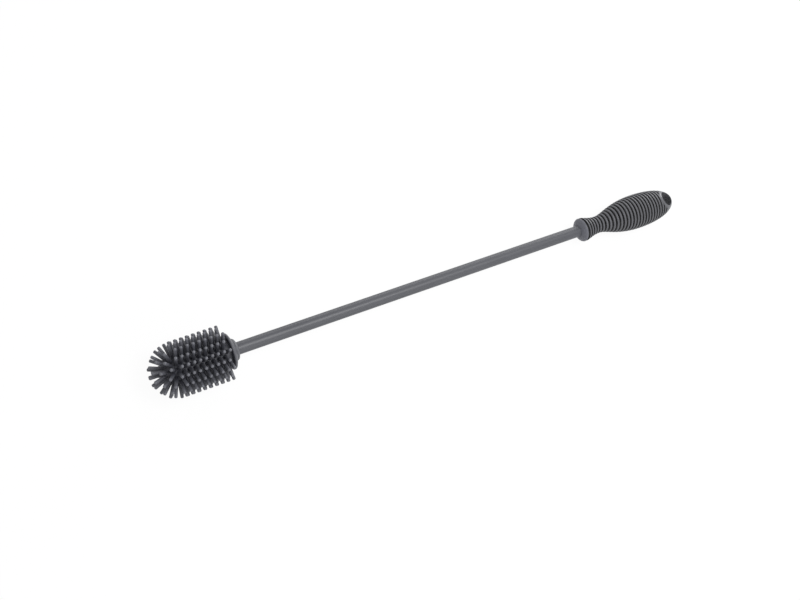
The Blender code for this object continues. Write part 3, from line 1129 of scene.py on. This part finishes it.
@dataclass
class HandleCore:
    """Plastic core of the handle: the bell-shaped collar that shows, and the tang inside the grip."""

    shape: GripShape
    node: str = "handle_core"
    slot: str = "handle_core_plastic"
    bell_length: float = 0.0038
    bell_radius: float = 0.00855   # the rim stands a little proud of it
    bell_fullness: float = 1.55    # 2 is an ellipse, and less is closer to a cone
    band_length: float = 0.0005    # the rim, between the bell and the seam
    rim_setback: float = 0.0005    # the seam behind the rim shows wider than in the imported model
    rim_step: float = 0.0003       # length of the slope from the rim down to the bell
    rim_fillet: float = 0.0002
    mouth_radius: float = 0.0042   # the bell's front closes on the stem
    mouth_depth: float = 0.0010
    back_fillet: float = 0.0003
    stem_past_collar: float = 0.0033
    rod_past_collar: float = 0.0513

    def bell(self, start_x: float, radius: float) -> list[Point]:
        """Draws the bell.

        Args:
            start_x: Its widest place.
            radius: Its radius there.

        Returns:
            The points as (x, radius), from its widest place to the axis.
        """
        power = 2 / self.bell_fullness
        points = []
        for across, out in arc(0.0, 1.0, 1.0, 90, 180, steps=48):
            points.append((start_x - self.bell_length * abs(across) ** power, radius * out ** power))
        return points

    def build(self) -> bpy.types.Object:
        """Builds and dresses the handle core.

        Returns:
            The finished piece.
        """
        back = self.shape.front - SEAM
        rim_x = back - self.rim_setback
        bell_x = rim_x - self.band_length
        radius = self.shape.collar_radius
        tang = list(reversed(self.shape.tang()))
        rim = filleted([
            (rim_x, self.shape.shoulder_radius, 0.0),
            (rim_x, radius, self.back_fillet),
            (bell_x + self.rim_step, radius, self.rim_fillet),
            (bell_x, self.bell_radius, 0.0),
        ])[:-1]
        bell = [p for p in self.bell(bell_x, self.bell_radius) if p[1] > self.mouth_radius]
        front = bell[-1][0]
        mouth_x = front + self.mouth_depth
        stem_end = back + self.stem_past_collar
        rod_end = back + self.rod_past_collar
        inner = [(front, self.mouth_radius), (mouth_x, self.mouth_radius), (mouth_x, STEM_SOCKET),
                 (stem_end, STEM_SOCKET), (stem_end, ROD_BORE), (rod_end, ROD_BORE), (rod_end, 0.0)]
        bm = bmesh.new()
        add_lathe(bm, [(self.shape.tang_end, 0.0)] + tang + rim + bell + inner, Sides.ROUND.value)
        # painted shade on the rim's back, in the seam to the grip
        finish = SatinPlastic("handle_core_satin", (0.101, 0.103, 0.121), roughness=0.46, specular=0.35,
                              seam_shade_x=rim_x)
        return hand_over(new_piece("handle_core_collar", bm), self.node, finish)


@dataclass
class RibbedGrip:
    """Ribbed silicone grip with its hanging hole and the smooth land round it."""

    shape: GripShape
    node: str = "grip"
    slot: str = "grip_silicone"
    first_groove: float = 0.0030   # front of the grip to the middle of the first groove
    groove_pitch: float = 0.00276
    groove_width: float = 0.0016
    groove_square: float = 0.7     # below 1, a wide floor and steep sides
    groove_depth: float = 0.0011
    crest_crown: float = 0.00014
    grooves: int = 26              # the last two stop at the land
    step_depth: float = 0.00105
    step_width: float = 0.0008
    step_slope: float = 0.0002
    step_fillet: float = 0.0003
    step_edge: Point = (0.00004, 0.0001)    # how far forward and down the slope begins
    hole_radius: float = 0.0055
    hole_to_end: float = 0.0079
    land_width: float = 0.0021
    land_fade: float = 0.0006
    rim_fillet: float = 0.0003
    rim_turn: float = 75.0         # degrees of the rounding, from the hole's wall towards the skin
    rim_steps: int = 6
    flare: Point = (1.2, 0.9)      # how far out and up the cutter opens past the rounding, in fillets
    samples: int = 16              # points along each rib
    outline_steps: int = 60

    def __post_init__(self) -> None:
        """Works out the outline once, and the place of the hole."""
        self.line = self.shape.outline(self.outline_steps)
        self.hole_x = self.shape.end - self.hole_to_end

    def depth(self, x: float) -> float:
        """Works out the grooves and the slight crown of each rib.

        Args:
            x: A place along X.

        Returns:
            How deep the surface lies there under the outline.
        """
        turns = (x - self.shape.front - self.first_groove) / self.groove_pitch + 1
        nearest = round(turns)
        off = abs(turns - nearest) * self.groove_pitch
        if nearest > self.grooves or nearest < 1:
            return 0.0
        crown = self.crest_crown * (0.5 + 0.5 * math.cos(2 * math.pi * off / self.groove_pitch))
        half = self.groove_width / 2
        if off >= half:
            return crown
        share = (0.5 + 0.5 * math.cos(math.pi * off / half)) ** self.groove_square
        return crown + (self.groove_depth - self.crest_crown) * share

    def surface(self, x: float, radius: float, turn: float) -> Vector:
        """Presses the grooves into the outline, faded out at the land.

        Args:
            x: The place along X.
            radius: The outline's radius there.
            turn: The angle about X.

        Returns:
            The point of the grip's outside.
        """
        off_hole = math.hypot(x - self.hole_x, radius * math.cos(turn))
        start = self.hole_radius + self.land_width - self.land_fade / 2
        share = min(max((off_hole - start) / self.land_fade, 0.0), 1.0)
        return around(x, radius - self.depth(x) * share * share * (3 - 2 * share), turn)

    def outside(self) -> list[Point]:
        """Works out the outer profile, with the step where the seam to the collar lies.

        Returns:
            The points as (x, radius), from the end of the grip to its front.
        """
        front = self.shape.front
        start = front + self.step_width + self.step_slope
        last = front + self.first_groove + self.grooves * self.groove_pitch
        step = self.groove_pitch / self.samples
        count = round((last - start) / step)
        ribs = [start + (last - start) * k / count for k in range(count + 1)]
        points = [p for p in reversed(self.line) if p[0] > last + step]
        points += [(x, height_at(self.line, x)) for x in reversed(ribs)]
        ahead, down = self.step_edge
        low = self.shape.collar_radius - self.step_depth
        points += filleted([(start - ahead, points[-1][1] - down, 0.0),
                            (front + self.step_width, low, self.step_fillet), (front, low, 0.0)])
        return points

    def inside(self) -> list[Point]:
        """Works out the cavity that the tang fills.

        Returns:
            The points as (x, radius), from the front to the cavity's end.
        """
        cavity = [(x, r + SEAM) for x, r in self.shape.tang()]
        cavity[0] = (self.shape.front, self.shape.shoulder_radius + SEAM)
        cavity[-1] = (self.shape.tang_end + SEAM, self.shape.tang_end_radius + SEAM)
        return cavity + [(self.shape.tang_end + SEAM, 0.0)]

    def skin_height(self, x: float, y: float) -> float:
        """Returns how high the smooth outline stands over the middle plane at a place."""
        radius = height_at(self.line, x) if x < self.shape.end else 0.0
        return math.sqrt(max(radius * radius - y * y, 0.0))

    def hole_cutter(self) -> bpy.types.Object:
        """Makes the cutter of the hanging hole, whose mouths flare into the rounded rim.

        Returns:
            The cutter.
        """
        sides = Sides.ROUND.value
        levels = []
        for k in range(self.rim_steps + 1):
            turn = math.radians(self.rim_turn * k / self.rim_steps)
            levels.append((1 - math.cos(turn), 1 - math.sin(turn)))
        levels.append((levels[-1][0] + self.flare[0], levels[-1][1] - self.flare[1]))
        clear = 2 * self.shape.belly_radius
        bm = bmesh.new()
        columns = []
        for side in range(sides):
            turn = 2 * math.pi * side / sides
            half = []
            for out, under in levels:
                spread = self.hole_radius + out * self.rim_fillet
                x = self.hole_x + spread * math.cos(turn)
                y = spread * math.sin(turn)
                half.append(Vector((x, y, self.skin_height(x, y) - under * self.rim_fillet)))
            half.append(Vector((half[-1].x, half[-1].y, clear)))
            column = [Vector((p.x, p.y, -p.z)) for p in reversed(half)] + half
            columns.append([bm.verts.new(p) for p in column])
        for column, after in zip(columns, columns[1:] + columns[:1]):
            for k in range(len(column) - 1):
                bm.faces.new((column[k], after[k], after[k + 1], column[k + 1]))
        bm.faces.new([column[0] for column in reversed(columns)])
        bm.faces.new([column[-1] for column in columns])
        return new_piece("hole_cutter", bm)

    def pierce(self, piece: bpy.types.Object) -> None:
        """Cuts the hanging hole through the grip.

        Args:
            piece: The grip.
        """
        cutter = self.hole_cutter()
        cut = piece.modifiers.new("Hanging hole", "BOOLEAN")
        cut.operation = "DIFFERENCE"
        cut.solver = "EXACT"
        cut.object = cutter
        graph = bpy.context.evaluated_depsgraph_get()
        pierced = bpy.data.meshes.new_from_object(piece.evaluated_get(graph))
        piece.modifiers.clear()
        piece.data = pierced
        bpy.data.objects.remove(cutter)
        pierced.set_sharp_from_angle(angle=SHARP_ANGLE)

    def build(self) -> bpy.types.Object:
        """Builds, pierces and dresses the grip.

        Returns:
            The finished piece.
        """
        outside = self.outside()
        wall_x = self.shape.front + self.step_width + self.step_slope
        ribbed = set(outside[:next(k for k, p in enumerate(outside) if p[0] <= wall_x)])

        def on_grip(x: float, radius: float, turn: float) -> Vector:
            """Returns the point of the grip, ribbed on its outside only."""
            shape = self.surface if (x, radius) in ribbed else around
            return shape(x, radius, turn)

        bm = bmesh.new()
        add_lathe(bm, outside + self.inside(), Sides.GRIP.value, place=on_grip)
        piece = new_piece("ribbed_grip", bm)
        self.pierce(piece)
        first_x = self.shape.front + self.first_groove
        finish = GripSilicone("grip_silicone_soft", (0.085, 0.086, 0.094), roughness=0.56, specular=0.2,
                              first_x=first_x, pitch=self.groove_pitch,
                              last_x=first_x + (self.grooves - 0.5) * self.groove_pitch,
                              front_x=self.shape.front, seam_width=self.step_width + self.step_slope,
                              hole_x=self.hole_x, hole_radius=self.hole_radius,
                              land_radius=self.hole_radius + self.land_width)
        return hand_over(piece, self.node, finish)


@dataclass(frozen=True)
class Lamp:
    """Soft square lamp that shines on the middle of the brush."""

    name: str
    place: Corner
    size: float                    # width of its square
    power: float                   # watts

    def hang(self) -> bpy.types.Object:
        """Hangs the lamp.

        Returns:
            The lamp.
        """
        data = bpy.data.lights.new(self.name, "AREA")
        data.shape = "SQUARE"
        data.size = self.size
        data.energy = self.power
        made = add_object(self.name, data)
        made.location = self.place
        made.rotation_mode = "QUATERNION"
        made.rotation_quaternion = (-Vector(self.place)).to_track_quat("-Z", "Y")
        return made


@dataclass
class Studio:
    """Plain pale floor, soft light and the photograph's camera."""

    eye: Corner = (-0.34116, -0.14763, 0.68517)
    aim: Corner = (-0.03198, -0.00493, 0.0)
    roll: float = -43.55           # degrees from upright
    lens: float = 50.76            # millimetres
    sensor: float = 36.0           # width, millimetres
    clip: Point = (0.01, 100.0)
    floor_half: float = 6.0
    floor_gap: float = 0.0001      # air under the lowest pins and the belly
    floor_colour: float = 0.88
    floor_glow: float = 0.94       # share of the floor that shows as plain white
    sky: float = 0.62
    lamps: tuple[Lamp, ...] = (
        Lamp("key", (0.20, -0.15, 1.0), size=0.45, power=6.8),
        Lamp("fill", (0.85, 0.50, 0.18), size=0.45, power=5.0),
        Lamp("bounce", (0.10, -0.80, 0.35), size=0.8, power=2.3),
        Lamp("edge", (0.30, 0.80, 0.08), size=0.5, power=2.0),
    )

    def floor(self, head: SiliconeHead, shape: GripShape) -> bpy.types.Object:
        """Lays the floor under the head's last ring of pins and under the belly of the grip.

        Args:
            head: The head, which stands on its pins.
            shape: The grip's shape, which lies on its belly.

        Returns:
            The floor.
        """
        head_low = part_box(head.node)[0].z
        belly_x = shape.front + shape.belly_place
        slope = (shape.belly_radius + head_low) / (belly_x - head.barrel_end)
        half = self.floor_half
        mesh = bpy.data.meshes.new("floor")
        corners = []
        for x, y in ((-half, -half), (half, -half), (half, half), (-half, half)):
            corners.append((x, y, head_low - slope * (x - head.barrel_end) - self.floor_gap))
        mesh.from_pydata(corners, [], [(0, 1, 2, 3)])
        made = add_object("floor", mesh)
        mesh.materials.append(self.floor_material())
        return made

    def seen(self, graph: Graph) -> bpy.types.NodeSocket:
        """Tells the rays that show the background: seen straight, in a gloss or through something.

        Args:
            graph: The graph that asks.

        Returns:
            The socket of 1 for such a ray, and 0 for the others.
        """
        rays = graph.add("ShaderNodeLightPath").outputs
        gloss = graph.math("MAXIMUM", rays["Is Glossy Ray"], rays["Is Transmission Ray"])
        return graph.math("MAXIMUM", rays["Is Camera Ray"], gloss)

    def floor_material(self) -> bpy.types.Material:
        """Mixes the pale floor, which shows nearly white and keeps the brush's soft shadow.

        Returns:
            The material.
        """
        made = bpy.data.materials.new("pale_floor")
        made.use_nodes = True
        made.node_tree.nodes.clear()
        graph = Graph(made.node_tree)
        matte = graph.add("ShaderNodeBsdfDiffuse", {"Color": white(self.floor_colour)})
        glow = graph.add("ShaderNodeEmission", {"Color": white(1.0), "Strength": 1.0})
        share = graph.times(self.seen(graph), self.floor_glow)
        mixed = graph.add("ShaderNodeMixShader", {0: share, 1: matte.outputs[0], 2: glow.outputs[0]})
        graph.add("ShaderNodeOutputMaterial", {"Surface": mixed.outputs[0]})
        return made

    def sky_light(self) -> None:
        """Sets an even pale world that lights softly and shows white."""
        world = bpy.data.worlds.new("soft_studio")
        world.use_nodes = True
        world.node_tree.nodes.clear()
        graph = Graph(world.node_tree)
        strength = graph.math("MULTIPLY_ADD", self.seen(graph), 1.0 - self.sky, self.sky)
        light = graph.add("ShaderNodeBackground", {"Color": white(1.0), "Strength": strength})
        graph.add("ShaderNodeOutputWorld", {"Surface": light.outputs[0]})
        bpy.context.scene.world = world

    def camera(self) -> bpy.types.Object:
        """Sets the camera at the photograph's viewing angle.

        Returns:
            The camera.
        """
        data = bpy.data.cameras.new("photo_view")
        data.sensor_width = self.sensor
        data.lens = self.lens
        data.clip_start, data.clip_end = self.clip
        made = add_object("photo_view", data)
        eye = Vector(self.eye)
        ahead = (Vector(self.aim) - eye).normalized()
        upright = ahead.to_track_quat("-Z", "Y").to_matrix()
        turned = Matrix.Rotation(math.radians(self.roll), 3, ahead) @ upright
        made.matrix_world = Matrix.Translation(eye) @ turned.to_4x4()
        bpy.context.scene.camera = made
        return made


def main() -> None:
    """Builds the studio and the brush in order."""
    logging.basicConfig(level=logging.INFO, format="%(message)s")
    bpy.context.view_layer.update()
    studio = Studio()
    studio.camera()
    core = HeadCore()
    head = SiliconeHead(core)
    shape = GripShape()
    head.build()
    core.build()
    stem = Stem()
    stem.build()
    stem.dress_rod()
    HandleCore(shape).build()
    RibbedGrip(shape).build()
    studio.floor(head, shape)
    studio.sky_light()
    for lamp in studio.lamps:
        lamp.hang()
    bpy.context.scene.view_settings.view_transform = "Standard"


if __name__ == "__main__":
    main()
